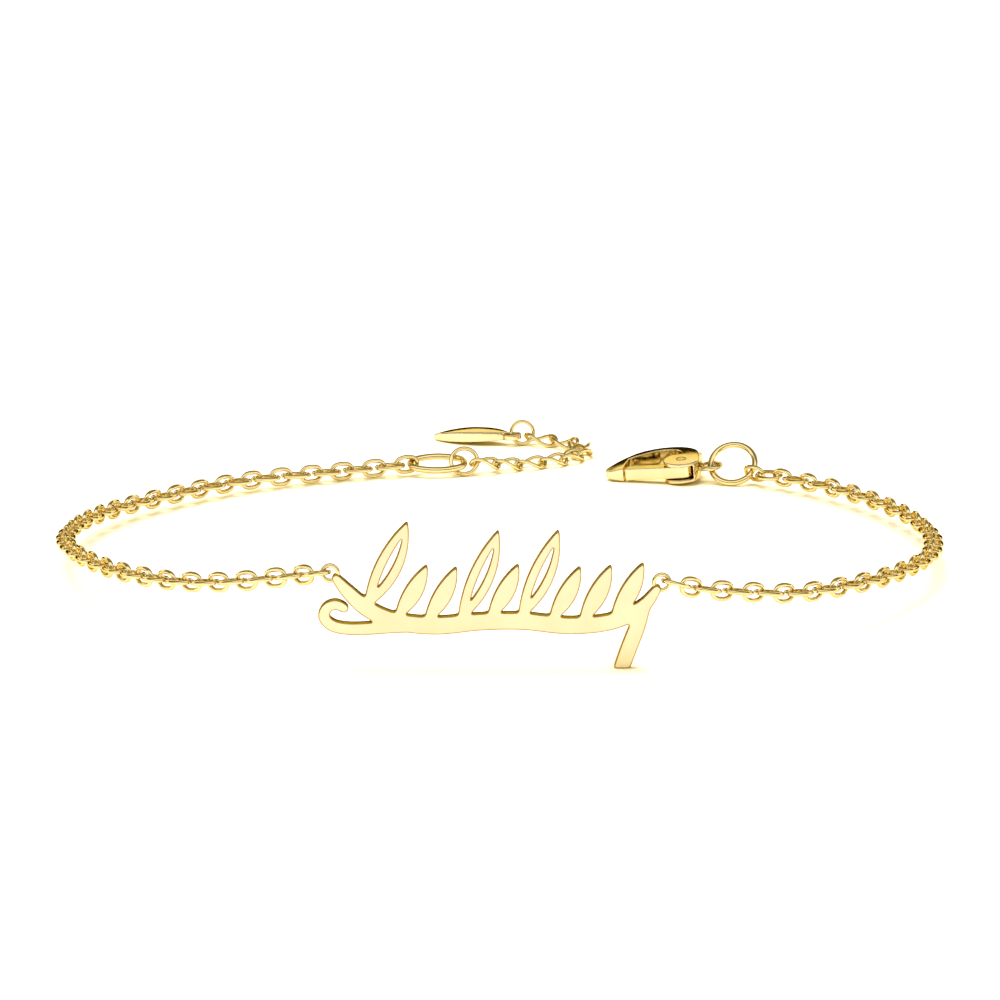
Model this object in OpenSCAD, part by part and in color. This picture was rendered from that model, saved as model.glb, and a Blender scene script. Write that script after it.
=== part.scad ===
// Nameplate bracelet, lying unfastened on a flat surface.
// An openwork plate stands at the front on its foot. Two cable chains run back from it,
// the right one to a lobster clasp on its ring, the left one to a catch ring
// with a short curb extender and an end tag.
// The origin is the centre of the loop on the surface. +Z is up and the plate faces -Y.

/* [Loop] */
// Radius of the loop that the chains follow
loop_r = 27.5; // [25:0.5:32]
// How far the plate stands inside the front of that circle
plate_inset = 0.25; // [0:0.05:1]

/* [Plate] */
// Width of the openwork
plate_w = 20.8; // [18:0.2:26]
// Height of the openwork, from the foot's sole to the tallest leaf
plate_h = 8.9; // [8:0.1:11]
// Thickness of the metal
plate_t = 0.6; // [0.5:0.05:1.2]
// Width of the stem
stem_w = 1; // [0.8:0.05:1.3]
// Width of a tall leaf
leaf_w = 1.5; // [1.3:0.05:1.8]
// Width of the slit that is pierced through a tall leaf
slit_w = 0.36; // [0.2:0.02:0.44]
// Width of the foot
foot_w = 0.95; // [0.7:0.05:1.3]
// Outer diameter of the two soldered end rings
end_ring_d = 1.2; // [1.1:0.05:1.6]
// Wire of the end rings
end_ring_wire = 0.27; // [0.22:0.01:0.32]

/* [Cable chain] */
// Length of a link that lies flat
flat_len = 2.12; // [2.1:0.01:2.14]
// Length of a link that stands upright
upright_len = 1.78; // [1.74:0.01:1.84]
// Width of both kinds of link
link_w = 1.3; // [1.24:0.01:1.4]
// Wire of the links
link_wire = 0.27; // [0.22:0.01:0.28]
// Widest spacing of the slack links on the left
left_spacing = 1.15; // [1.14:0.01:1.17]
// Widest spacing of the drawn out links on the right
right_spacing = 1.25; // [1.18:0.01:1.25]

/* [Catch ring and extender] */
// Length of the oval catch ring
catch_len = 4.1; // [3.8:0.1:4.6]
// Width of the oval catch ring
catch_w = 2.2; // [2.1:0.05:2.6]
// Wire of the catch ring
catch_wire = 0.45; // [0.36:0.01:0.46]
// Radius of its two ends, along the wire's middle
catch_end_r = 0.62; // [0.58:0.01:0.7]
// Outer diameter of the round ring that carries the extender
extender_ring_d = 2.1; // [2:0.05:2.4]
// Wire of that ring
extender_ring_wire = 0.3; // [0.24:0.01:0.34]
// Number of curb links in the extender
extender_links = 9; // [9:1:9]
// Width of a curb link
curb_w = 1.6; // [1.5:0.05:1.8]
// Wire of the curb links
curb_wire = 0.28; // [0.24:0.01:0.29]
// Gap between neighbouring curb links
curb_gap = 0.2; // [0.16:0.01:0.22]

/* [End tag] */
// Outer diameter of the tag's ring
tag_ring_d = 1.8; // [1.7:0.05:2.1]
// Wire of the tag's ring
tag_ring_wire = 0.27; // [0.22:0.01:0.3]
// Length of the leaf-shaped tag
tag_len = 6.4; // [5.6:0.1:8]
// Width of the tag
tag_w = 2.1; // [1.9:0.1:2.6]
// Thickness in the middle of the tag
tag_t = 0.84; // [0.7:0.02:1]
// Thickness at the tag's ends
tag_end_t = 0.4; // [0.3:0.02:0.45]
// Diameter of the hole in the tag's eye
tag_hole_d = 0.72; // [0.66:0.02:0.8]
// Metal round that hole
tag_eye_wall = 0.3; // [0.25:0.05:0.4]

/* [Clasp] */
// Length of the clasp from the nose to the eye's end
clasp_len = 7.9; // [7.8:0.1:9]
// Width of the clasp across the hook's back
clasp_w = 4.5; // [4.4:0.1:5]
// Thickness of the clasp's body in the middle
clasp_t = 1.6; // [1.5:0.05:1.8]
// Wall left round the hook's mouth at the back
hook_wall = 1.1; // [0.9:0.05:1.2]
// Thickness of the lever
lever_t = 0.8; // [0.7:0.05:0.9]
// Width of the lever's bar
lever_w = 0.85; // [0.75:0.05:0.9]
// Radius of the pivot pin
pin_r = 0.3; // [0.25:0.01:0.34]
// Radial clearance of the pin in the lever
pin_clearance = 0.04; // [0.02:0.01:0.08]
// Clearance beside and round the lever
lever_clearance = 0.05; // [0.04:0.01:0.08]
// Diameter of the hole in the clasp's eye
eye_hole_d = 0.95; // [0.95:0.05:1.1]
// Thickness of the round eye
eye_wall = 0.35; // [0.25:0.05:0.4]
// Outer diameter of the clasp's ring
clasp_ring_d = 3.4; // [3.3:0.05:3.8]
// Wire of the clasp's ring
clasp_ring_wire = 0.4; // [0.3:0.01:0.42]

/* [Hidden] */
function extender_name(i) = str("extender_link_", i);
gold = [0.90, 0.76, 0.43];
bright_gold = [0.95, 0.82, 0.50];
overlap = 0.01;
curb_end_slack = 0.36;
link_gap = 0.12;
joint_gap = 0.006;
rest_gap = 0.02;
cap_steps = 10;
leaf_tip_cut = 0.08;
leaf_bow = 0.62;
slit_from = 0.26;
slit_share = 0.56;
slit_off = -0.10;

// Place of the plate
plate_y = -(loop_r - plate_inset);
plate_left = -0.524 * plate_w;
left_ring_at = [0.040, 0.647];
right_ring_at = [0.985, 0.584];
end_ring_reach = (end_ring_d - end_ring_wire) / 2;

// Openwork of the plate. Each place is [share of the width, share of the height].
// Stem: [along, up, share of stem_w]
STEM = [
    [0.057, 0.615, 0.55],
    [0.092, 0.520, 0.85],
    [0.150, 0.400, 1.00],
    [0.230, 0.320, 1.05],
    [0.340, 0.292, 1.10],
    [0.470, 0.318, 1.05],
    [0.590, 0.322, 1.05],
    [0.720, 0.292, 1.05],
    [0.840, 0.318, 1.00],
    [0.925, 0.410, 0.90],
    [0.971, 0.540, 0.55]
];
// Leaves: [root along, root up, tip along, tip up, share of leaf_w, has a slit]
LEAVES = [
    [0.135, 0.400, 0.262, 1.007, 1.05, 1],
    [0.222, 0.330, 0.318, 0.712, 0.74, 0],
    [0.306, 0.300, 0.402, 0.700, 0.74, 0],
    [0.402, 0.300, 0.521, 0.950, 1.00, 1],
    [0.487, 0.330, 0.578, 0.718, 0.74, 0],
    [0.574, 0.320, 0.692, 0.952, 1.00, 1],
    [0.662, 0.310, 0.754, 0.702, 0.74, 0],
    [0.748, 0.300, 0.842, 0.712, 0.76, 0],
    [0.838, 0.320, 0.934, 0.727, 0.76, 0]
];
// Foot: [along, up, share of foot_w]
FOOT = [
    [0.940, 0.450, 0.70],
    [0.918, 0.300, 1.00],
    [0.892, 0.140, 1.05],
    [0.868, -0.020, 1.00]
];
// Scroll at the lower left: [along, up, share of stem_w]
SCROLL = [
    [0.290, 0.292, 0.80],
    [0.215, 0.284, 0.78],
    [0.150, 0.272, 0.76],
    [0.092, 0.270, 0.74],
    [0.046, 0.292, 0.72],
    [0.022, 0.350, 0.70],
    [0.030, 0.412, 0.66],
    [0.056, 0.438, 0.60],
    [0.080, 0.412, 0.60]
];

// Middle lines of the chains: [angle from the front, reach as a share of loop_r,
// height as a share of the end ring's height over the resting links]
LEFT_ROUTE = [
    [26, 1.028, 0.880],
    [33, 1.010, 0.730],
    [40, 1.002, 0.610],
    [48, 1.000, 0.520],
    [60, 1.000, 0.440],
    [75, 1.000, 0.360],
    [90, 1.000, 0.250],
    [105, 1.000, 0.150],
    [120, 1.000, 0.070],
    [140, 1.000, 0.035],
    [155, 1.000, 0.005],
    [163, 1.004, 0.010]
];
RIGHT_ROUTE = [
    [25, 1.030, 0.830],
    [32, 1.011, 0.680],
    [40, 1.003, 0.540],
    [48, 1.000, 0.475],
    [60, 1.000, 0.400],
    [75, 1.000, 0.310],
    [90, 1.000, 0.210],
    [103, 1.009, 0.145],
    [115, 1.021, 0.115],
    [128, 1.040, 0.090],
    [138, 1.058, 0.060]
];
// Middle line of the extender: [right of its ring, behind it, height]
EXTENDER_ROUTE = [
    [3.40, 1.50, 0.46],
    [5.20, 2.35, 0.43],
    [6.80, 3.50, 0.43],
    [7.85, 5.15, 0.43],
    [8.00, 6.95, 0.43],
    [7.10, 8.60, 0.44],
    [5.70, 9.40, 0.46]
];

// Points along a smooth line through chosen points
function glide(p, k, t) = let (
    a = p[max(k - 1, 0)], b = p[k], c = p[k + 1], d = p[min(k + 2, len(p) - 1)]
) 0.5 * (2 * b + (c - a) * t + (2 * a - 5 * b + 4 * c - d) * t * t + (3 * b - a - 3 * c + d) * t * t * t);
function smooth_line(p, steps) = concat(
    [for (k = [0 : len(p) - 2]) for (j = [0 : steps - 1]) glide(p, k, j / steps)],
    [p[len(p) - 1]]
);
function run_to(line, i = 1, runs = [0]) = i == len(line) ? runs
    : run_to(line, i + 1, concat(runs, [runs[i - 1] + norm(line[i] - line[i - 1])]));
function spot(line, runs, s) = [for (c = [0 : 2])
    lookup(s, [for (i = [0 : len(line) - 1]) [runs[i], line[i][c]]])];
function unit(v) = v / norm(v);

// Point on a ring's wire: a ring leans back by lean and turns about the vertical by turn
function ring_point(centre, reach, lean, angle, turn = 0) = centre + reach * (
    cos(angle) * [cos(turn), sin(turn), 0]
    + sin(angle) * [-sin(lean) * sin(turn), sin(lean) * cos(turn), cos(lean)]
);

// Places of the rings and of the pieces that hang on them
function plate_point(p) = [plate_left + p[0] * plate_w, plate_y, p[1] * plate_h];
rest_z = link_w / 2 + rest_gap;
catch_reach = (catch_len - catch_wire) / 2;
catch_lean = 20;
catch_turn = 5;
catch_z = 0.85;
catch_at = [-0.154 * loop_r, 0.989 * loop_r, catch_z];
catch_along = [cos(catch_turn), sin(catch_turn), 0];
extender_ring_lean = 28;
extender_ring_from = -5;
extender_ring_reach = (extender_ring_d - extender_ring_wire) / 2;
extender_ring_at = concat(
    [for (c = [0 : 1]) (catch_at + catch_reach * catch_along)[c]],
    [extender_ring_reach * cos(extender_ring_lean) + extender_ring_wire / 2 + overlap]
);
tag_ring_lean = 5;
tag_ring_from = -25;
tag_eye_on_ring = 200;
tag_ring_off = [3.96, 9.8];
tag_ring_reach = (tag_ring_d - tag_ring_wire) / 2;
tag_ring_at = [
    extender_ring_at[0] + tag_ring_off[0],
    extender_ring_at[1] + tag_ring_off[1],
    tag_ring_reach * cos(tag_ring_lean) + tag_ring_wire / 2 + overlap
];
clasp_ring_lean = 42;
clasp_ring_turn = -12;
rolled_links = 3;
right_end_roll = -24;
right_end_on_ring = -25;
clasp_ring_reach = (clasp_ring_d - clasp_ring_wire) / 2;
clasp_ring_at = [
    0.569 * loop_r,
    0.902 * loop_r,
    clasp_ring_reach * cos(clasp_ring_lean) + clasp_ring_wire / 2 + overlap
];

// Middle lines, from the wire that the first link hangs on to the wire that the last one holds
function route_point(row, top) = [
    loop_r * row[1] * sin(row[0]),
    -loop_r * row[1] * cos(row[0]),
    rest_z + row[2] * (top - rest_z)
];
left_start = plate_point(left_ring_at) - [end_ring_reach, 0, 0];
left_end = catch_at - catch_reach * catch_along;
left_line = smooth_line(concat(
    [left_start],
    [for (row = LEFT_ROUTE) let (p = route_point(row, left_start[2])) [-p[0], p[1], p[2]]],
    [left_end]
), 10);
right_start = plate_point(right_ring_at) + [end_ring_reach, 0, 0];
right_end = ring_point(clasp_ring_at, clasp_ring_reach, clasp_ring_lean, right_end_on_ring, clasp_ring_turn);
right_line = smooth_line(concat(
    [right_start],
    [for (row = RIGHT_ROUTE) route_point(row, right_start[2])],
    [right_end]
), 10);
extender_start = ring_point(extender_ring_at, extender_ring_reach, extender_ring_lean, extender_ring_from);
extender_end = ring_point(tag_ring_at, tag_ring_reach, tag_ring_lean, tag_ring_from);
extender_line = smooth_line(concat(
    [extender_start],
    [for (row = EXTENDER_ROUTE) [extender_ring_at[0] + row[0], extender_ring_at[1] + row[1], row[2]]],
    [extender_end]
), 10);
left_runs = run_to(left_line);
right_runs = run_to(right_line);
extender_runs = run_to(extender_line);

// Spacing of the curb links, their length, and the run from the first ring to the first middle
extender_total = extender_runs[len(extender_runs) - 1];
curb_spacing = (extender_total - curb_gap + 2 * curb_end_slack) / extender_links;
curb_len = curb_spacing + 2 * curb_wire + curb_gap;
curb_first = curb_len / 2 - curb_wire - curb_end_slack;

// Clasp: lengths in its own frame, nose at 0, near face of the lever at 0
nose_r = 0.75;
back_r = 2.55;
back_at = [3.6, clasp_w - back_r];
pivot_at = [5.2, 0.85];
pivot_r = 1.2;
mouth_y = 2.05;
mouth_r = clasp_w - hook_wall - mouth_y;
mouth_nose = [1.95, 1.85];
mouth_nose_r = 0.62;
cheek_at = [5.35, 1.05];
cheek_r = 1.05;
lever_tip = 1.45;
tip_slant = 0.14;
lever_gap = 0.12;
pocket_t = lever_t + 2 * lever_clearance;
lever_inset = 0.03;
lever_disc_r = pivot_at[1] - lever_inset;
lever_opening = 15;
tab_from_pivot = 74;
tab_reach = 2.5;
tab_r = 0.26;
tab_gap = 0.08;
slot_r = lever_disc_r + 0.1;
slot_end = 6.12;
gate_depth = 1.6;
dome_r = 18;
dome_at = [4.4, 1.6];
eye_r = eye_hole_d / 2 + eye_wall;
eye_at = [clasp_len - eye_r, 1.35];
neck_bead_at = 6.2;
neck_bead_r = 0.42;
pin_press_gap = 0.02;
pin_inset = 0.03;
clasp_turn = -13;
clasp_tilt = 5;
clasp_roll = 5;
eye_on_ring = 190;
clasp_eye_place = ring_point(clasp_ring_at, clasp_ring_reach, clasp_ring_lean, eye_on_ring, clasp_ring_turn);

// Solder-closed link lying flat along X
module wire_link(long, wide, wire) {
    straight = long - wide;
    bend_r = (wide - wire) / 2;
    for (side = [0, 180])
        rotate([0, 0, side]) {
            translate([straight / 2, 0, 0])
                rotate([0, 0, -90])
                    rotate_extrude(angle = 180, $fn = 48)
                        translate([bend_r, 0]) circle(d = wire, $fn = 24);
            translate([-straight / 2, bend_r, 0])
                rotate([0, 90, 0])
                    cylinder(h = straight, d = wire, $fn = 24);
        }
}

// Arc of round wire about the origin, cut a hair short at both ends
module wire_arc(arc_r, wire, from, to, facets) {
    short = joint_gap / arc_r * 180 / PI;
    rotate([0, 0, from + short])
        rotate_extrude(angle = to - from - 2 * short, $fn = facets)
            translate([arc_r, 0]) circle(d = wire, $fn = 24);
}

// Oval ring of two end arcs and two side arcs, lying flat along X.
// A bead just over the wire's size joins each two arcs into one solid.
module oval_ring(long, wide, wire, end_r) {
    a = (long - wire) / 2;
    b = (wide - wire) / 2;
    side_r = (a * a + b * b - 2 * a * end_r) / (2 * (b - end_r));
    half_end = atan2(side_r - b, a - end_r);
    for (turn = [0, 180])
        rotate([0, 0, turn]) {
            translate([a - end_r, 0]) wire_arc(end_r, wire, -half_end, half_end, 96);
            translate([0, b - side_r]) wire_arc(side_r, wire, half_end, 180 - half_end, 240);
            for (side = [-1, 1])
                translate([a - end_r + end_r * cos(half_end), side * end_r * sin(half_end)])
                    rotate([0, 90, 90 + side * half_end])
                        sphere(d = wire + 4 * joint_gap, $fn = 48);
        }
}

// Round ring standing in the plane of X, leaning back and turned about the vertical
module round_ring(at, outer_d, wire, lean, turn = 0) {
    translate(at)
        rotate([0, 0, turn])
            rotate([90 - lean, 0, 0])
                rotate_extrude($fn = 64)
                    translate([(outer_d - wire) / 2, 0]) circle(d = wire, $fn = 24);
}

// Turns its children so that their X runs along a direction
module along(at, dir) {
    translate(at)
        rotate([0, -atan2(dir[2], norm([dir[0], dir[1]])), atan2(dir[1], dir[0])])
            children();
}

// Flat and upright links in turn, the first one flat, the last ones rolled towards the end ring
module cable_chain(line, runs, spacing, end_roll) {
    total = runs[len(runs) - 1];
    first = flat_len / 2 - link_wire - end_ring_wire / 2 - link_gap;
    last = upright_len / 2 - link_wire - catch_wire / 2 - link_gap;
    count = 2 * ceil(((total - first - last) / spacing + 1) / 2);
    step = (total - first - last) / (count - 1);
    for (i = [0 : count - 1]) {
        s = first + i * step;
        dir = spot(line, runs, s + step / 4) - spot(line, runs, s - step / 4);
        upright = i % 2;
        roll = end_roll * max(0, 1 - (count - 1 - i) / rolled_links);
        along(spot(line, runs, s), dir)
            rotate([90 * upright + roll, 0, 0])
                wire_link(upright == 1 ? upright_len : flat_len, link_w, link_wire);
    }
}

// Outline of a stroke with round ends, whose rows hold its middle and its width
function stroke_dir(line, i) = let (
    a = line[max(i - 1, 0)], b = line[min(i + 1, len(line) - 1)]
) atan2(b[1] - a[1], b[0] - a[0]);
function stroke_point(line, i, turn) = let (angle = stroke_dir(line, i) + turn)
    [line[i][0], line[i][1]] + line[i][2] / 2 * [cos(angle), sin(angle)];
module stroke(line) {
    last = len(line) - 1;
    polygon(concat(
        [for (i = [0 : last]) stroke_point(line, i, 90)],
        [for (i = [1 : cap_steps - 1]) stroke_point(line, last, 90 - 180 * i / cap_steps)],
        [for (i = [last : -1 : 0]) stroke_point(line, i, -90)],
        [for (i = [1 : cap_steps - 1]) stroke_point(line, 0, -90 - 180 * i / cap_steps)]
    ));
}

function openwork_line(rows, width) = smooth_line(
    [for (row = rows) [row[0] * plate_w, row[1] * plate_h, row[2] * width]], 8);

// Lens from the origin along X, with its own bulge above and below
function lens_r(long, bulge) = (pow(long / 2, 2) + pow(bulge, 2)) / (2 * bulge);
module lens(long, up, down) {
    intersection() {
        translate([long / 2, up - lens_r(long, up)]) circle(r = lens_r(long, up), $fn = 360);
        translate([long / 2, lens_r(long, down) - down]) circle(r = lens_r(long, down), $fn = 360);
    }
}

// Turns a lens so that it runs from the root of a leaf to its tip
module on_leaf(leaf) {
    root = [leaf[0] * plate_w, leaf[1] * plate_h];
    run = [leaf[2] * plate_w, leaf[3] * plate_h] - root;
    translate(root) rotate([0, 0, atan2(run[1], run[0])]) children();
}
function leaf_long(leaf) = norm([(leaf[2] - leaf[0]) * plate_w, (leaf[3] - leaf[1]) * plate_h]);

module openwork() {
    difference() {
        union() {
            stroke(openwork_line(STEM, stem_w));
            stroke(openwork_line(SCROLL, stem_w));
            stroke(openwork_line(FOOT, foot_w));
            for (leaf = LEAVES) {
                long = leaf_long(leaf);
                wide = leaf[4] * leaf_w;
                on_leaf(leaf)
                    intersection() {
                        lens(long, (1 - leaf_bow) * wide, leaf_bow * wide);
                        translate([long / 2, 0]) circle(r = long / 2 - leaf_tip_cut, $fn = 360);
                    }
            }
        }
        for (leaf = LEAVES)
            if (leaf[5] == 1)
                on_leaf(leaf)
                    translate([slit_from * leaf_long(leaf), slit_off * leaf_w])
                        lens(slit_share * leaf_long(leaf), slit_w * (1 - leaf_bow), slit_w * leaf_bow);
        translate([0, -2 * foot_w]) square([plate_w, 2 * foot_w]);
    }
}

module nameplate() {
    color(bright_gold) {
        translate([plate_left, plate_y + plate_t / 2, 0])
            rotate([90, 0, 0])
                linear_extrude(height = plate_t) openwork();
        for (at = [left_ring_at, right_ring_at])
            round_ring(plate_point(at), end_ring_d, end_ring_wire, 0);
    }
}

module left_chain() {
    color(gold) cable_chain(left_line, left_runs, left_spacing, 0);
}

module right_chain() {
    color(gold) cable_chain(right_line, right_runs, right_spacing, right_end_roll);
}

module catch_ring() {
    color(gold)
        translate(catch_at)
            rotate([0, 0, catch_turn])
                rotate([catch_lean, 0, 0])
                    oval_ring(catch_len, catch_w, catch_wire, catch_end_r);
}

module extender_ring() {
    color(gold) round_ring(extender_ring_at, extender_ring_d, extender_ring_wire, extender_ring_lean);
}

// Curb link: an oval of wire whose two ends are twisted apart
curb_twist = 50;
curb_rings = 16;
curb_sides = 6;
function twisted(p, angle) = [p[0], p[1] * cos(angle) - p[2] * sin(angle), p[1] * sin(angle) + p[2] * cos(angle)];
function curb_middle(turn) = let (a = (curb_len - curb_wire) / 2, b = (curb_w - curb_wire) / 2)
    twisted([a * cos(turn), b * sin(turn), 0], curb_twist * cos(turn));
function curb_skin(turn, round) = let (
    t = unit(curb_middle(turn + 1) - curb_middle(turn - 1)),
    up = twisted([0, 0, 1], curb_twist * cos(turn)),
    out = unit(cross(t, up)),
    top = cross(out, t)
) curb_middle(turn) + curb_wire / 2 * (cos(round) * out + sin(round) * top);

module curb_link() {
    points = [for (i = [0 : curb_rings - 1]) for (j = [0 : curb_sides - 1])
        curb_skin(360 * i / curb_rings, 360 * (j + 0.5) / curb_sides)];
    faces = [for (i = [0 : curb_rings - 1]) for (j = [0 : curb_sides - 1]) let (
        i2 = (i + 1) % curb_rings, j2 = (j + 1) % curb_sides
    ) [i * curb_sides + j, i * curb_sides + j2, i2 * curb_sides + j2, i2 * curb_sides + j]];
    polyhedron(points, faces);
}

module extender_link(i) {
    s = curb_first + (i - 1) * curb_spacing;
    dir = spot(extender_line, extender_runs, s + curb_spacing / 3)
        - spot(extender_line, extender_runs, s - curb_spacing / 3);
    color(gold) along(spot(extender_line, extender_runs, s), dir) curb_link();
}

module tag_ring() {
    color(gold) round_ring(tag_ring_at, tag_ring_d, tag_ring_wire, tag_ring_lean);
}

// The tag's eye lies round the low left side of its ring, its far tip on the surface
tag_turn = 161;
tag_eye_r = tag_hole_d / 2 + tag_eye_wall;
tag_eye_at = ring_point(tag_ring_at, tag_ring_reach, tag_ring_lean, tag_eye_on_ring);
tag_leaf_len = tag_len - tag_eye_r;
tag_tilt = asin((tag_eye_at[2] - tag_end_t / 2) / tag_leaf_len);
tag_side_r = (pow(tag_leaf_len / 2, 2) + pow(tag_w / 2, 2)) / tag_w;
tag_rise = tag_t - tag_end_t;
tag_crown_r = 4;
tag_dome_r = (pow(tag_leaf_len / 2, 2) + pow(tag_rise, 2)) / (2 * tag_rise);

module end_tag() {
    color(bright_gold)
        translate(tag_eye_at)
            rotate([0, 0, tag_turn])
                rotate([0, tag_tilt, 0])
                    translate([0, 0, -tag_end_t / 2])
                        difference() {
                            union() {
                                intersection() {
                                    intersection_for(side = [-1, 1])
                                        translate([tag_leaf_len / 2, side * (tag_side_r - tag_w / 2), 0])
                                            cylinder(h = tag_t, r = tag_side_r, $fn = 200);
                                    translate([tag_leaf_len / 2, 0, tag_t - tag_dome_r])
                                        rotate([90, 0, 0])
                                            rotate_extrude($fn = 200)
                                                translate([tag_dome_r - tag_crown_r, 0])
                                                    circle(r = tag_crown_r, $fn = 120);
                                }
                                cylinder(h = tag_end_t, r = tag_eye_r, $fn = 48);
                            }
                            translate([0, 0, -1]) cylinder(h = tag_t + 2, d = tag_hole_d, $fn = 48);
                        }
}

// Clasp, flat in its own frame with the nose at the origin
module clasp_place() {
    translate(clasp_eye_place)
        rotate([0, 0, clasp_turn])
            rotate([clasp_roll, -clasp_tilt, 0])
                translate([-eye_at[0], -eye_at[1], -clasp_t / 2])
                    children();
}

module clasp_outline() {
    difference() {
        intersection() {
            hull() {
                translate([nose_r, nose_r]) circle(r = nose_r, $fn = 64);
                translate(back_at) circle(r = back_r, $fn = 128);
                translate(cheek_at) circle(r = cheek_r, $fn = 64);
            }
            square([clasp_len, clasp_w]);
        }
        hull() {
            translate(mouth_nose) circle(r = mouth_nose_r, $fn = 64);
            translate([back_at[0], mouth_y]) circle(r = mouth_r, $fn = 96);
        }
        translate([lever_tip - lever_gap, -1]) square([pivot_at[0] - lever_tip, 1 + gate_depth]);
    }
    translate(pivot_at) circle(r = pivot_r, $fn = 72);
}

// Thumb tab of the lever, opened by an angle, with a gap all round
module lever_tab(opened, gap) {
    turn = tab_from_pivot - opened;
    hull() {
        translate(pivot_at) circle(r = tab_r + gap, $fn = 48);
        translate([pivot_at[0] + tab_reach * cos(turn), pivot_at[1] + tab_reach * sin(turn)])
            circle(r = tab_r + gap, $fn = 48);
    }
}

// Slot that the lever turns in: open to the mouth, to the front and to the back for the tab
module lever_pocket() {
    translate(pivot_at) circle(r = slot_r, $fn = 72);
    translate([back_at[0], -1]) square([pivot_at[0] - back_at[0], 1 + back_at[1]]);
    translate([pivot_at[0] - overlap, -1]) square([slot_end - pivot_at[0], 1 + pivot_at[1]]);
    for (opened = [0 : lever_opening / 3 : lever_opening])
        lever_tab(opened, tab_gap);
}

module clasp_body() {
    color(bright_gold)
        clasp_place()
            difference() {
                union() {
                    intersection() {
                        linear_extrude(height = clasp_t) clasp_outline();
                        translate([dome_at[0], dome_at[1], dome_r]) sphere(r = dome_r, $fn = 240);
                        translate([dome_at[0], dome_at[1], clasp_t - dome_r]) sphere(r = dome_r, $fn = 240);
                    }
                    translate([eye_at[0], eye_at[1], clasp_t / 2])
                        rotate_extrude($fn = 64)
                            translate([(eye_hole_d + eye_wall) / 2, 0]) circle(d = eye_wall, $fn = 32);
                    translate([neck_bead_at, eye_at[1], clasp_t / 2]) sphere(r = neck_bead_r, $fn = 64);
                }
                translate([0, 0, (clasp_t - pocket_t) / 2])
                    linear_extrude(height = pocket_t) lever_pocket();
                translate([pivot_at[0], pivot_at[1], -1]) cylinder(h = clasp_t + 2, r = pin_r + pin_press_gap, $fn = 48);
            }
}

module clasp_lever() {
    color(bright_gold)
        clasp_place()
            translate([0, 0, (clasp_t - lever_t) / 2])
                difference() {
                    linear_extrude(height = lever_t) {
                        polygon([
                            [lever_tip, lever_inset],
                            [pivot_at[0], lever_inset],
                            [pivot_at[0], lever_inset + lever_w],
                            [lever_tip + tip_slant, lever_inset + lever_w],
                            [lever_tip, lever_inset + lever_w / 2]
                        ]);
                        translate(pivot_at) circle(r = lever_disc_r, $fn = 72);
                        lever_tab(0, 0);
                    }
                    translate([pivot_at[0], pivot_at[1], -1])
                        cylinder(h = lever_t + 2, r = pin_r + pin_clearance, $fn = 48);
                }
}

module clasp_pin() {
    color(gold)
        clasp_place()
            translate([pivot_at[0], pivot_at[1], pin_inset])
                cylinder(h = clasp_t - 2 * pin_inset, r = pin_r, $fn = 48);
}

module clasp_ring() {
    color(gold) round_ring(clasp_ring_at, clasp_ring_d, clasp_ring_wire, clasp_ring_lean, clasp_ring_turn);
}

nameplate();
left_chain();
right_chain();
catch_ring();
extender_ring();
for (i = [1 : extender_links])
    extender_link(i);
tag_ring();
end_tag();
clasp_body();
clasp_lever();
clasp_pin();
clasp_ring();
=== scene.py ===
import math

import bmesh
import bpy
import numpy as np
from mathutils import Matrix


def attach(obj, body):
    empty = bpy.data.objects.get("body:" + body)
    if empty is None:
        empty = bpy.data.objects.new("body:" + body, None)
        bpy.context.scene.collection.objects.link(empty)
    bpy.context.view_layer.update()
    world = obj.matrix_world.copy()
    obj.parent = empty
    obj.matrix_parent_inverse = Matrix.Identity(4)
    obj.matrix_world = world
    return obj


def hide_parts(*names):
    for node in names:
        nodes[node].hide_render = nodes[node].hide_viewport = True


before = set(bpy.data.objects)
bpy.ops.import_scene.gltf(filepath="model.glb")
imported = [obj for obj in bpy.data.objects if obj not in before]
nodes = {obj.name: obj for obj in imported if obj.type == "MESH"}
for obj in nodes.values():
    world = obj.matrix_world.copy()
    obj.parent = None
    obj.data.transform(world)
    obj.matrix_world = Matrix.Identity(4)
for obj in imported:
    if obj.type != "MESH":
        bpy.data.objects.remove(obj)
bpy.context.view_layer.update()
mm = 0.001
print("frame loaded")


# sRGB hex to the linear colour that shaders work in
def linearColour(hexText):
    parts = [int(hexText[i:i + 2], 16) / 255 for i in (1, 3, 5)]
    return [p / 12.92 if p <= 0.04045 else ((p + 0.055) / 1.055) ** 2.4 for p in parts] + [1.0]


# adds a node, sets its values and links its inputs
def addNode(tree, kind, values=None, links=None, **settings):
    made = tree.nodes.new(kind)
    for name, value in settings.items():
        setattr(made, name, value)
    for socket, value in (values or {}).items():
        made.inputs[socket].default_value = value
    for socket, source in (links or {}).items():
        tree.links.new(source, made.inputs[socket])
    return made


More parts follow.
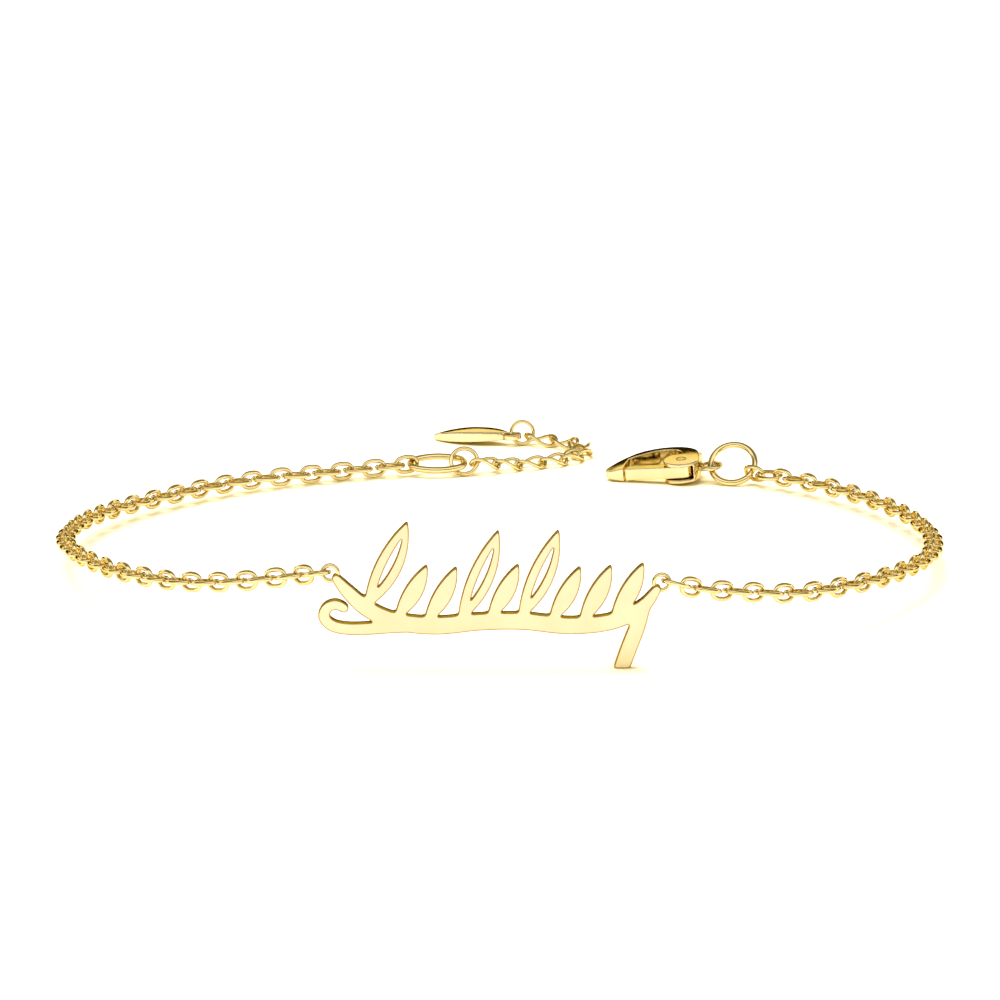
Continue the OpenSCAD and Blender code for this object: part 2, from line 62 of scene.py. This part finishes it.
goldFinishes = {
    # blasted face under a thin lacquer of polish: pale and even, with a fine grain
    "satin gold plating": {
        "pale": "#EAE0B9", "deep": "#DFCD9C", "patch": 2.4 * mm,
        "grain": 0.09 * mm, "grainDepth": 0.0022 * mm, "roughLow": 0.26, "roughHigh": 0.42,
        "wave": 0.9 * mm, "waveDepth": 0.0025 * mm,
    },
    # edges cut by laser and polished; their colour is set darker than the face's as painted shade, so a thin
    # deep line runs round the pale face
    "cut gold edge with painted shade": {
        "pale": "#C09F50", "deep": "#A8873C", "patch": 0.8 * mm,
        "grain": 0.12 * mm, "grainDepth": 0.0020 * mm, "roughLow": 0.12, "roughHigh": 0.28,
        "wave": 0.5 * mm, "waveDepth": 0.0040 * mm,
    },
    # drawn wire, soldered and tumbled: bright, hardly grained
    "drawn gold wire": {
        "pale": "#EADBA6", "deep": "#D9C07E", "patch": 1.6 * mm,
        "grain": 0.10 * mm, "grainDepth": 0.0008 * mm, "roughLow": 0.05, "roughHigh": 0.15,
        "wave": 0.7 * mm, "waveDepth": 0.0025 * mm,
    },
    # lost wax casting, polished: soft waves are left in the surface
    "polished cast gold": {
        "pale": "#E4D6AA", "deep": "#D6C08A", "patch": 2.0 * mm,
        "grain": 0.11 * mm, "grainDepth": 0.0008 * mm, "roughLow": 0.04, "roughHigh": 0.12,
        "wave": 1.3 * mm, "waveDepth": 0.0100 * mm,
    },
}
# gold stays warm where it is seen at a slant, so its outlines are brown rather than grey
slantTint = "#E8C876"


# one gold alloy in four finishes: colour drifts in patches, fine grain sets roughness and relief
def goldMaterial(name):
    look = goldFinishes[name]
    material = bpy.data.materials.new(name)
    material.use_nodes = True
    tree = material.node_tree
    tree.nodes.clear()
    place = addNode(tree, "ShaderNodeTexCoord").outputs["Object"]
    patch = addNode(
        tree, "ShaderNodeTexNoise", {"Scale": 1 / look["patch"], "Detail": 3.0},
        {"Vector": place},
    )
    colour = addNode(tree, "ShaderNodeMix", None, {"Factor": patch.outputs["Fac"]}, data_type="RGBA")
    colour.inputs["A"].default_value = linearColour(look["deep"])
    colour.inputs["B"].default_value = linearColour(look["pale"])
    grain = addNode(
        tree, "ShaderNodeTexNoise", {"Scale": 1 / look["grain"], "Detail": 6.0, "Roughness": 0.65},
        {"Vector": place},
    )
    rough = addNode(
        tree, "ShaderNodeMapRange",
        {"From Min": 0.3, "From Max": 0.7, "To Min": look["roughLow"], "To Max": look["roughHigh"]},
        {"Value": grain.outputs["Fac"]},
    )
    wave = addNode(
        tree, "ShaderNodeTexNoise", {"Scale": 1 / look["wave"], "Detail": 1.5},
        {"Vector": place},
    )
    soft = addNode(
        tree, "ShaderNodeBump", {"Strength": 1.0, "Distance": look["waveDepth"]},
        {"Height": wave.outputs["Fac"]},
    )
    relief = addNode(
        tree, "ShaderNodeBump", {"Strength": 1.0, "Distance": look["grainDepth"]},
        {"Height": grain.outputs["Fac"], "Normal": soft.outputs["Normal"]},
    )
    surface = {
        "Base Color": colour.outputs["Result"],
        "Roughness": rough.outputs["Result"],
        "Normal": relief.outputs["Normal"],
    }
    fixed = {"Metallic": 1.0, "Specular Tint": linearColour(slantTint)}
    shader = addNode(tree, "ShaderNodeBsdfPrincipled", fixed, surface)
    addNode(tree, "ShaderNodeOutputMaterial", None, {"Surface": shader.outputs["BSDF"]})
    return material


materials = {name: goldMaterial(name) for name in goldFinishes}
print("materials made")


# quads of a grid that closes both ways, rows by columns, repeated for a number of copies
def closedGrid(copies, rows, columns):
    row = np.arange(rows)[:, None]
    column = np.arange(columns)[None, :]
    nextRow = (row + 1) % rows
    nextColumn = (column + 1) % columns
    corners = np.broadcast_arrays(
        row * columns + column, nextRow * columns + column,
        nextRow * columns + nextColumn, row * columns + nextColumn,
    )
    quads = np.stack(corners, axis=-1).reshape(-1, 4)
    return (quads[None] + (np.arange(copies) * rows * columns)[:, None, None]).reshape(-1, 4)


# puts points and quads into a smooth mesh of wire that stands for a node of the bracelet
def addWirePiece(name, node, points, quads):
    mesh = bpy.data.meshes.new(name)
    mesh.vertices.add(len(points))
    mesh.vertices.foreach_set("co", points.astype(np.float32).ravel())
    mesh.loops.add(quads.size)
    mesh.loops.foreach_set("vertex_index", quads.astype(np.int32).ravel())
    mesh.polygons.add(len(quads))
    mesh.polygons.foreach_set("loop_start", np.arange(0, quads.size, 4, dtype=np.int32))
    mesh.update(calc_edges=True)
    mesh.validate()
    mesh.shade_smooth()
    placePiece(name, mesh, {
        "node": node, "finishes": ["drawn gold wire"], "slot": "chain_gold", "body": "bracelet",
    })


# links a mesh to the scene as a finished piece
def placePiece(name, mesh, look):
    for finish in look["finishes"]:
        mesh.materials.append(materials[finish])
    piece = bpy.data.objects.new(name, mesh)
    bpy.context.collection.objects.link(piece)
    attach(piece, look["body"])
    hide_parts(look["node"])


# places of a mesh's vertices as an array
def meshPoints(mesh):
    points = np.empty(len(mesh.vertices) * 3, dtype=np.float32)
    mesh.vertices.foreach_get("co", points)
    return points.reshape(-1, 3).astype(float)


# centre, axes and sizes of equal solids stored one after another: the axes are those of
# the spread of a solid's points, longest first, and the sizes are its extents along them
def solidPlaces(node, count):
    solids = meshPoints(nodes[node].data).reshape(count, -1, 3)
    middle = solids.mean(axis=1, keepdims=True)
    spread = np.einsum("kni,knj->kij", solids - middle, solids - middle)
    axes = np.linalg.eigh(spread)[1][:, :, ::-1].transpose(0, 2, 1)
    axes[:, 2] = np.cross(axes[:, 0], axes[:, 1])
    along = np.einsum("kni,kji->knj", solids - middle, axes)
    low, high = along.min(axis=1), along.max(axis=1)
    centre = middle[:, 0] + np.einsum("kj,kji->ki", (low + high) / 2, axes)
    return centre, axes, high - low


# points of round wire along a closed path: path + radius * (cos * outward + sin * up),
# where outward is square to the path's tangent and to up
def wireSkin(path, up, radius, sides):
    tangent = np.roll(path, -1, axis=-2) - np.roll(path, 1, axis=-2)
    outward = np.cross(tangent, up)
    outward /= np.linalg.norm(outward, axis=-1, keepdims=True)
    lift = np.cross(outward, tangent)
    lift /= np.linalg.norm(lift, axis=-1, keepdims=True)
    turn = np.linspace(0, 2 * np.pi, sides, endpoint=False)
    ring = np.cos(turn)[:, None] * outward[..., None, :] + np.sin(turn)[:, None] * lift[..., None, :]
    return path[..., None, :] + radius[..., None, None] * ring


# points in the dense outline of an oval, before it is walked at an even pace
outlinePoints = 2881


# oval of four tangent arcs: at the normal angle t it is the arc's centre plus its radius *
# (cos t, sin t). With an end radius just under half the width it is a circle
def arcOval(a, b, endShare):
    endRadius = endShare * b
    sideRadius = (a * a + b * b - 2 * a * endRadius) / (2 * (b - endRadius))
    halfEnd = math.atan2(sideRadius - b, a - endRadius)
    t = np.linspace(0, 2 * np.pi, outlinePoints)
    atEnd = np.abs((t + np.pi / 2) % np.pi - np.pi / 2) < halfEnd
    endX = np.sign(np.cos(t)) * (a - endRadius) + endRadius * np.cos(t)
    sideY = sideRadius * np.sin(t) - np.sign(np.sin(t)) * (sideRadius - b)
    return np.where(atEnd, endX, sideRadius * np.cos(t)), np.where(atEnd, endRadius * np.sin(t), sideY)


# squarish oval: |x / a| ^ power + |y / b| ^ power = 1
def squareOval(a, b, power):
    t = np.linspace(0, 2 * np.pi, outlinePoints)
    x = a * np.sign(np.cos(t)) * np.abs(np.cos(t)) ** (2 / power)
    y = b * np.sign(np.sin(t)) * np.abs(np.sin(t)) ** (2 / power)
    return x, y


# wire bent into an oval walked at an even pace; its radius changes a little at the solder seam
def ovalWire(centre, axes, sizes, look):
    wire = look["wire"]
    a, b = (sizes[:, 0].mean() - wire) / 2, (sizes[:, 1].mean() - wire) / 2
    x, y = look["shape"](a, b, look["bend"])
    run = np.concatenate([[0], np.cumsum(np.hypot(np.diff(x), np.diff(y)))])
    share = np.arange(look["steps"]) / look["steps"]
    x, y = np.interp(share * run[-1], run, x), np.interp(share * run[-1], run, y)
    path = centre[:, None, :] + x[:, None] * axes[:, None, 0] + y[:, None] * axes[:, None, 1]
    seam = ((np.atleast_1d(look["seamAt"])[:, None] - share + 0.5) % 1 - 0.5) * run[-1]
    radius = wire / 2 * (1 + look["seamSwell"] * np.exp(-(seam / look["seamWidth"]) ** 2))
    return wireSkin(path, axes[:, None, 2], radius, look["sides"])


chains = {
    "leftCableChain": {"node": "left_chain", "count": 62},
    "rightCableChain": {"node": "right_chain", "count": 50},
}
# the solder joint swells the middle of one side of each link: seamSides are those middles
# as shares of the way round, and seamDrift is how far the joints stray from them
chainLook = {
    "wire": 0.29 * mm, "shape": squareOval, "bend": 2.5, "steps": 64, "sides": 20,
    "seamSides": [0.25, 0.75], "seamDrift": 0.01, "seamSwell": 0.07, "seamWidth": 0.16 * mm, "seed": 7,
}


# a chain of long and short links in turn, each with its seam on a side that is drawn by lot
def cableChain(name, chain, lots):
    count = chain["count"]
    centre, axes, sizes = solidPlaces(chain["node"], count)
    isLong = sizes[:, 0] > sizes[:, 0].mean()
    seamAt = lots.choice(chainLook["seamSides"], count) + lots.normal(0, chainLook["seamDrift"], count)
    skins = [
        ovalWire(centre[kind], axes[kind], sizes[kind], dict(chainLook, seamAt=seamAt[kind]))
        for kind in (isLong, ~isLong)
    ]
    points = np.concatenate(skins).reshape(-1, 3)
    addWirePiece(name, chain["node"], points, closedGrid(count, chainLook["steps"], chainLook["sides"]))


lots = np.random.default_rng(chainLook["seed"])
for name, chain in chains.items():
    cableChain(name, chain, lots)
print("chains made")

# the rings' butt joints are a fine groove, and each lies where the ring is least in view
rings = {
    "ovalCatchRing": {
        "node": "catch_ring", "wire": 0.45 * mm, "shape": arcOval, "bend": 0.709, "steps": 240,
        "sides": 24, "seamAt": 0.30, "seamSwell": -0.10, "seamWidth": 0.025 * mm,
    },
    "extenderRing": {
        "node": "extender_ring", "wire": 0.30 * mm, "shape": arcOval, "bend": 0.98, "steps": 160,
        "sides": 20, "seamAt": 0.80, "seamSwell": -0.12, "seamWidth": 0.025 * mm,
    },
    "tagRing": {
        "node": "tag_ring", "wire": 0.27 * mm, "shape": arcOval, "bend": 0.98, "steps": 150,
        "sides": 20, "seamAt": 0.30, "seamSwell": -0.12, "seamWidth": 0.025 * mm,
    },
    "claspRing": {
        "node": "clasp_ring", "wire": 0.42 * mm, "shape": arcOval, "bend": 0.98, "steps": 260,
        "sides": 24, "seamAt": 0.62, "seamSwell": -0.12, "seamWidth": 0.030 * mm,
    },
}
for name, ring in rings.items():
    skin = ovalWire(*solidPlaces(ring["node"], 1), ring)
    addWirePiece(name, ring["node"], skin.reshape(-1, 3), closedGrid(1, ring["steps"], ring["sides"]))
print("rings made")

curbLook = {
    "count": 9, "wire": 0.28 * mm, "flatten": 0.88, "twist": math.radians(50), "steps": 72, "sides": 16,
}


# wire bent into an oval whose plane turns by twist * cos(t) about its long axis, so its two ends
# lie at opposite slants; the wire is a little flattened, as a filed curb chain is
def curbWire(centre, axes, sizes, look):
    t = np.linspace(0, 2 * np.pi, look["steps"], endpoint=False)
    a = (sizes[:, 0:1] - look["wire"]) / 2
    b = (sizes[:, 1:2] - look["wire"]) / 2
    slant = look["twist"] * np.cos(t)
    x, y, z = a * np.cos(t), b * np.sin(t) * np.cos(slant), b * np.sin(t) * np.sin(slant)
    path = centre[:, None, :] + np.einsum("cks,kci->ksi", np.stack([x, y, z]), axes)
    up = -np.sin(slant)[None, :, None] * axes[:, None, 1] + np.cos(slant)[None, :, None] * axes[:, None, 2]
    radius = np.full(x.shape, look["wire"] / 2)
    skin = wireSkin(path, up, radius, look["sides"])
    rise = np.einsum("ksni,ksi->ksn", skin - path[:, :, None], up)
    return skin - ((1 - look["flatten"]) * rise)[..., None] * up[:, :, None]


for number in range(1, curbLook["count"] + 1):
    node = "extender_link_%d" % number
    skin = curbWire(*solidPlaces(node, 1), curbLook)
    quads = closedGrid(1, curbLook["steps"], curbLook["sides"])
    addWirePiece("curbLink%d" % number, node, skin.reshape(-1, 3), quads)
print("extender made")

# corners of a CAD solid's triangles that lie closer than this are one corner
cornerReach = 0.0015 * mm


# a copy of a CAD solid as a bmesh whose loose triangles are joined
def joinedSolid(node):
    work = bmesh.new()
    work.from_mesh(nodes[node].data)
    bmesh.ops.remove_doubles(work, verts=work.verts, dist=cornerReach)
    return work


# lengths in mm, and ringWire is that of the solid's end rings too
plateLook = {
    "node": "nameplate", "slot": "plate_gold", "body": "bracelet",
    "finishes": ["satin gold plating", "cut gold edge with painted shade", "drawn gold wire"],
    "pace": 0.07, "rounds": 8, "fewestPoints": 12, "rim": 0.08, "rimSteps": 3, "joinReach": 0.0005,
    "faceDepth": 0.01, "flatNormal": 0.999,
    "ringOuter": 1.2, "ringWire": 0.27, "crestDepth": 0.0005, "ringSteps": 96, "ringSides": 20,
}
platePoints = meshPoints(nodes[plateLook["node"]].data) / mm
frontY, backY = platePoints[:, 1].min(), platePoints[:, 1].max()
middleY = (frontY + backY) / 2


# outlines of the flat face that looks towards -Y: its border edges joined end to end, always
# in the same order, as places (x, z) in mm
def faceOutlines():
    work = joinedSolid(plateLook["node"])
    deepest = (frontY + plateLook["faceDepth"]) * mm
    others = [face for face in work.faces if face.calc_center_median().y > deepest]
    bmesh.ops.delete(work, geom=others, context="FACES")
    work.edges.index_update()
    border = {edge.index: edge for edge in work.edges if edge.is_boundary}
    outlines = []
    while border:
        first, here = border.pop(min(border)).verts
        walk = [first.co.xz, here.co.xz]
        while here != first:
            edge = next(edge for edge in here.link_edges if edge.index in border)
            del border[edge.index]
            here = edge.other_vert(here)
            walk.append(here.co.xz)
        outlines.append(np.array([tuple(place) for place in walk]) / mm)
    work.free()
    return outlines


# signed area of a closed line: half the sum of x * next z - next x * z
def signedArea(line):
    x, z = line[:, 0], line[:, 1]
    return 0.5 * np.sum(x * np.roll(z, -1) - np.roll(x, -1) * z)


# a closed line with points at an even pace, its corners worn round by averaging neighbours
def evenLine(line):
    run = np.concatenate([[0], np.cumsum(np.linalg.norm(np.diff(line, axis=0), axis=1))])
    count = max(plateLook["fewestPoints"], int(run[-1] / plateLook["pace"]))
    walk = np.linspace(0, run[-1], count, endpoint=False)
    even = np.stack([np.interp(walk, run, line[:, 0]), np.interp(walk, run, line[:, 1])], axis=1)
    for turn in range(plateLook["rounds"]):
        even = (np.roll(even, 1, axis=0) + 2 * even + np.roll(even, -1, axis=0)) / 4
    return even


# the plate's lines as a filled curve with a round rim, in mm: the outer line runs one way
# and the slits the other, so that the rim is taken off the metal on both
def plateCurve():
    look = plateLook
    curve = bpy.data.curves.new("openworkPlate", "CURVE")
    curve.dimensions = "2D"
    curve.fill_mode = "BOTH"
    curve.extrude = (backY - frontY) / 2 - look["rim"]
    curve.bevel_depth = look["rim"]
    curve.bevel_resolution = look["rimSteps"]
    curve.offset = -look["rim"]
    outlines = [evenLine(line) for line in faceOutlines()]
    largest = max(abs(signedArea(line)) for line in outlines)
    for line in outlines:
        isOuter = abs(signedArea(line)) == largest
        if (signedArea(line) > 0) != isOuter:
            line = line[::-1]
        spline = curve.splines.new("POLY")
        spline.points.add(len(line) - 1)
        flat = np.concatenate([line, np.zeros((len(line), 1)), np.ones((len(line), 1))], axis=1)
        spline.points.foreach_set("co", flat.ravel().astype(np.float32))
        spline.use_cyclic_u = True
    return curve


# the mesh that an object of the given data has once its modifiers have run
def finishedMesh(name, data, addModifiers=None):
    helper = bpy.data.objects.new(name + "Helper", data)
    bpy.context.collection.objects.link(helper)
    if addModifiers:
        addModifiers(helper)
    mesh = bpy.data.meshes.new_from_object(helper.evaluated_get(bpy.context.evaluated_depsgraph_get()))
    bpy.data.objects.remove(helper)
    return mesh


# centres (x, z) in mm of the plate's end rings: a circle is fitted to the crest of each ring's
# wire, from x * x + z * z = 2 * (x * centre x + z * centre z) + rest
def endRingPlaces():
    crestHeight = np.abs(platePoints[:, 1] - middleY) - plateLook["ringWire"] / 2
    crest = platePoints[np.abs(crestHeight) < plateLook["crestDepth"]]
    places = []
    for side in (-1, 1):
        x, z = crest[crest[:, 0] * side > 0][:, [0, 2]].T
        terms = np.stack([x, z, np.ones(len(x))], axis=1)
        fit = np.linalg.lstsq(terms, x * x + z * z, rcond=None)[0]
        places.append(fit[:2] / 2)
    return places


# adds the plate's two soldered end rings to its bmesh, in metres
def addEndRings(work):
    look = plateLook
    turn = np.linspace(0, 2 * np.pi, look["ringSteps"], endpoint=False)
    reach = (look["ringOuter"] - look["ringWire"]) / 2
    radius = np.full(turn.shape, look["ringWire"] / 2)
    for x, z in endRingPlaces():
        path = [x + reach * np.cos(turn), np.full(turn.shape, middleY), z + reach * np.sin(turn)]
        skin = wireSkin(np.stack(path, axis=1), np.array([0.0, 1.0, 0.0]), radius, look["ringSides"])
        verts = [work.verts.new(place) for place in skin.reshape(-1, 3) * mm]
        for quad in closedGrid(1, look["ringSteps"], look["ringSides"]):
            face = work.faces.new([verts[corner] for corner in quad])
            face.smooth = True
            face.material_index = look["finishes"].index("drawn gold wire")


# the filled curve stood up on its foot, flat faces satin and the rim polished, with its rings
def openworkPlate():
    look = plateLook
    # the rim takes the cut edge finish, whose darker colour is painted shade
    satin, cut = look["finishes"].index("satin gold plating"), look["finishes"].index("cut gold edge with painted shade")
    mesh = finishedMesh("openworkPlate", plateCurve())
    work = bmesh.new()
    work.from_mesh(mesh)
    bmesh.ops.remove_doubles(work, verts=work.verts, dist=look["joinReach"])
    bmesh.ops.recalc_face_normals(work, faces=work.faces)
    for face in work.faces:
        isFlat = abs(face.normal.z) > look["flatNormal"]
        face.smooth = not isFlat
        face.material_index = satin if isFlat else cut
    for vert in work.verts:
        across, up, depth = vert.co
        vert.co = (across * mm, (middleY - depth) * mm, up * mm)
    addEndRings(work)
    plate = bpy.data.meshes.new("openworkPlate")
    work.to_mesh(plate)
    work.free()
    placePiece("openworkPlate", plate, look)


openworkPlate()
print("plate made")

# voxel is in mm
cast = {
    "claspPin": {
        "node": "clasp_pin", "voxel": 0.03, "rounds": 3,
        "finishes": ["drawn gold wire"], "slot": "chain_gold", "body": "bracelet",
    },
    "leafTag": {
        "node": "end_tag", "voxel": 0.04, "rounds": 12,
        "finishes": ["polished cast gold"], "slot": "cast_gold", "body": "bracelet",
    },
    "claspBody": {
        "node": "clasp_body", "voxel": 0.04, "rounds": 10,
        "finishes": ["polished cast gold"], "slot": "cast_gold", "body": "bracelet",
    },
    "claspLever": {
        "node": "clasp_lever", "voxel": 0.03, "rounds": 6,
        "finishes": ["polished cast gold"], "slot": "cast_gold", "body": "lever",
    },
}


# a casting: the CAD solid is made again from voxels, in mm, and every edge is worn round by
# moving each point half way to the mean of its neighbours for a few rounds
def castPiece(name, look):
    work = joinedSolid(look["node"])
    bmesh.ops.scale(work, vec=[1 / mm] * 3, verts=work.verts)
    solid = bpy.data.meshes.new(name)
    work.to_mesh(solid)
    work.free()

    def addWear(helper):
        voxels = helper.modifiers.new("voxels", "REMESH")
        voxels.mode = "VOXEL"
        voxels.voxel_size = look["voxel"]
        wear = helper.modifiers.new("wear", "SMOOTH")
        wear.factor = 0.5
        wear.iterations = look["rounds"]

    mesh = finishedMesh(name, solid, addWear)
    mesh.vertices.foreach_set("co", (meshPoints(mesh) * mm).astype(np.float32).ravel())
    mesh.update()
    mesh.shade_smooth()
    placePiece(name, mesh, look)


for name, look in cast.items():
    castPiece(name, look)
print("tag and clasp made")

# shade is the painted warm contact shadow that the paper's colour turns to where gold hides the sky
floorLook = {
    "halfWidth": 0.45, "near": -0.5, "far": 0.5, "roughness": 0.9, "gloss": 0.2,
    "paper": "#FFFFFF", "shade": "#FFF1B4", "reach": 9 * mm, "fade": 2.6, "samples": 8,
}


# white paper sweep: matt card, with a painted warm shade where gold above it hides the sky,
# standing in for its contact shadow and the colour it throws down; mixed by (open share of the sky) ^ fade
def paperFloor():
    look = floorLook
    left, right = -look["halfWidth"], look["halfWidth"]
    near, far = look["near"], look["far"]
    corners = [(left, near, 0), (right, near, 0), (right, far, 0), (left, far, 0)]
    mesh = bpy.data.meshes.new("paperFloor")
    mesh.from_pydata(corners, [], [[0, 1, 2, 3]])
    material = bpy.data.materials.new("white card with painted shade")
    material.use_nodes = True
    tree = material.node_tree
    tree.nodes.clear()
    sky = addNode(tree, "ShaderNodeAmbientOcclusion", {"Distance": look["reach"]}, samples=look["samples"])
    share = addNode(tree, "ShaderNodeMath", {1: look["fade"]}, {0: sky.outputs["AO"]}, operation="POWER")
    colour = addNode(tree, "ShaderNodeMix", None, {"Factor": share.outputs["Value"]}, data_type="RGBA")
    colour.inputs["A"].default_value = linearColour(look["shade"])
    colour.inputs["B"].default_value = linearColour(look["paper"])
    shader = addNode(
        tree, "ShaderNodeBsdfPrincipled",
        {"Roughness": look["roughness"], "Specular IOR Level": look["gloss"]},
        {"Base Color": colour.outputs["Result"]},
    )
    addNode(tree, "ShaderNodeOutputMaterial", None, {"Surface": shader.outputs["BSDF"]})
    mesh.materials.append(material)
    floor = bpy.data.objects.new("paperFloor", mesh)
    bpy.context.collection.objects.link(floor)


paperFloor()

studio = {
    # brightness of the tent round an arch from the front of the table (0) over the top (0.5)
    # to its back (1): a front card, a dim top card and a back card, with gaps between them
    "tent": [
        (0.00, 0.05), (0.03, 0.35), (0.14, 0.35),
        (0.18, 1.40), (0.40, 1.40), (0.44, 0.04), (0.47, 0.04),
        (0.50, 0.34), (0.67, 0.34), (0.70, 0.04), (0.74, 0.04),
        (0.78, 1.50), (0.89, 1.50), (0.91, 0.03), (1.00, 0.03),
    ],
    # the gaps are brown card, so a dim part of the arch is warmer than a bright one
    "card": "#FFDA6C",
    "backdrop": 1.2,
    "softbox": {"place": (-0.08, 0.06, 0.50), "aim": (0, 0, 0), "size": (0.45, 0.35), "power": 3.2},
}


# white tent with dark gaps between its cards, so that polished metal shows light and dark bands:
# share of the arch = atan2(z, -y) / pi
def tentWorld():
    world = bpy.data.worlds.new("studio tent")
    bpy.context.scene.world = world
    world.use_nodes = True
    tree = world.node_tree
    tree.nodes.clear()
    direction = addNode(tree, "ShaderNodeTexCoord").outputs["Generated"]
    split = addNode(tree, "ShaderNodeSeparateXYZ", None, {"Vector": direction})
    front = addNode(tree, "ShaderNodeMath", {1: -1.0}, {0: split.outputs["Y"]}, operation="MULTIPLY")
    height = split.outputs["Z"]
    angle = addNode(tree, "ShaderNodeMath", None, {0: height, 1: front.outputs["Value"]}, operation="ARCTAN2")
    share = addNode(tree, "ShaderNodeMath", {1: math.pi}, {0: angle.outputs["Value"]}, operation="DIVIDE")
    ramp = addNode(tree, "ShaderNodeValToRGB", None, {"Fac": share.outputs["Value"]})
    stops = ramp.color_ramp.elements
    brightest = max(level for place, level in studio["tent"])
    for place, level in studio["tent"]:
        stop = stops[0] if place == 0 else stops[-1] if place == 1 else stops.new(place)
        white = min(1.0, level)
        tint = [part + (1 - part) * white for part in linearColour(studio["card"])[:3]]
        stop.color = [level / brightest * part for part in tint] + [1.0]
    tent = addNode(tree, "ShaderNodeBackground", {"Strength": brightest}, {"Color": ramp.outputs["Color"]})
    white = {"Color": linearColour("#FFFFFF"), "Strength": studio["backdrop"]}
    backdrop = addNode(tree, "ShaderNodeBackground", white)
    rays = addNode(tree, "ShaderNodeLightPath")
    mixed = addNode(tree, "ShaderNodeMixShader", None, {"Fac": rays.outputs["Is Camera Ray"]})
    tree.links.new(tent.outputs["Background"], mixed.inputs[1])
    tree.links.new(backdrop.outputs["Background"], mixed.inputs[2])
    addNode(tree, "ShaderNodeOutputWorld", None, {"Surface": mixed.outputs["Shader"]})


# turns an object at a place so that its -Z looks at a point
def aimed(target, place, point):
    away = np.array(place, dtype=float) - np.array(point, dtype=float)
    flat = math.hypot(away[0], away[1])
    target.location = place
    target.rotation_euler = (math.atan2(flat, away[2]), 0, math.atan2(away[0], -away[1]))


# a lamp over the table that lights the paper, and that polished metal doesn't mirror
def overheadSoftbox():
    look = studio["softbox"]
    lamp = bpy.data.lights.new("overheadSoftbox", "AREA")
    lamp.shape = "RECTANGLE"
    lamp.size, lamp.size_y = look["size"]
    lamp.energy = look["power"]
    box = bpy.data.objects.new("overheadSoftbox", lamp)
    bpy.context.collection.objects.link(box)
    box.visible_glossy = False
    aimed(box, look["place"], look["aim"])


tentWorld()
overheadSoftbox()

cameraLook = {
    "place": (0, -402.1 * mm, 91.9 * mm), "aim": (0, 0, 4.24 * mm), "lens": 233.8, "sensor": 36,
    "nearest": 10 * mm,
}
lens = bpy.data.cameras.new("photoCamera")
lens.lens = cameraLook["lens"]
lens.sensor_width = cameraLook["sensor"]
lens.clip_start = cameraLook["nearest"]
camera = bpy.data.objects.new("photoCamera", lens)
bpy.context.collection.objects.link(camera)
aimed(camera, cameraLook["place"], cameraLook["aim"])
bpy.context.scene.camera = camera
bpy.context.scene.view_settings.view_transform = "Standard"
bpy.context.scene.view_settings.look = "None"
print("stage, lights and camera made")
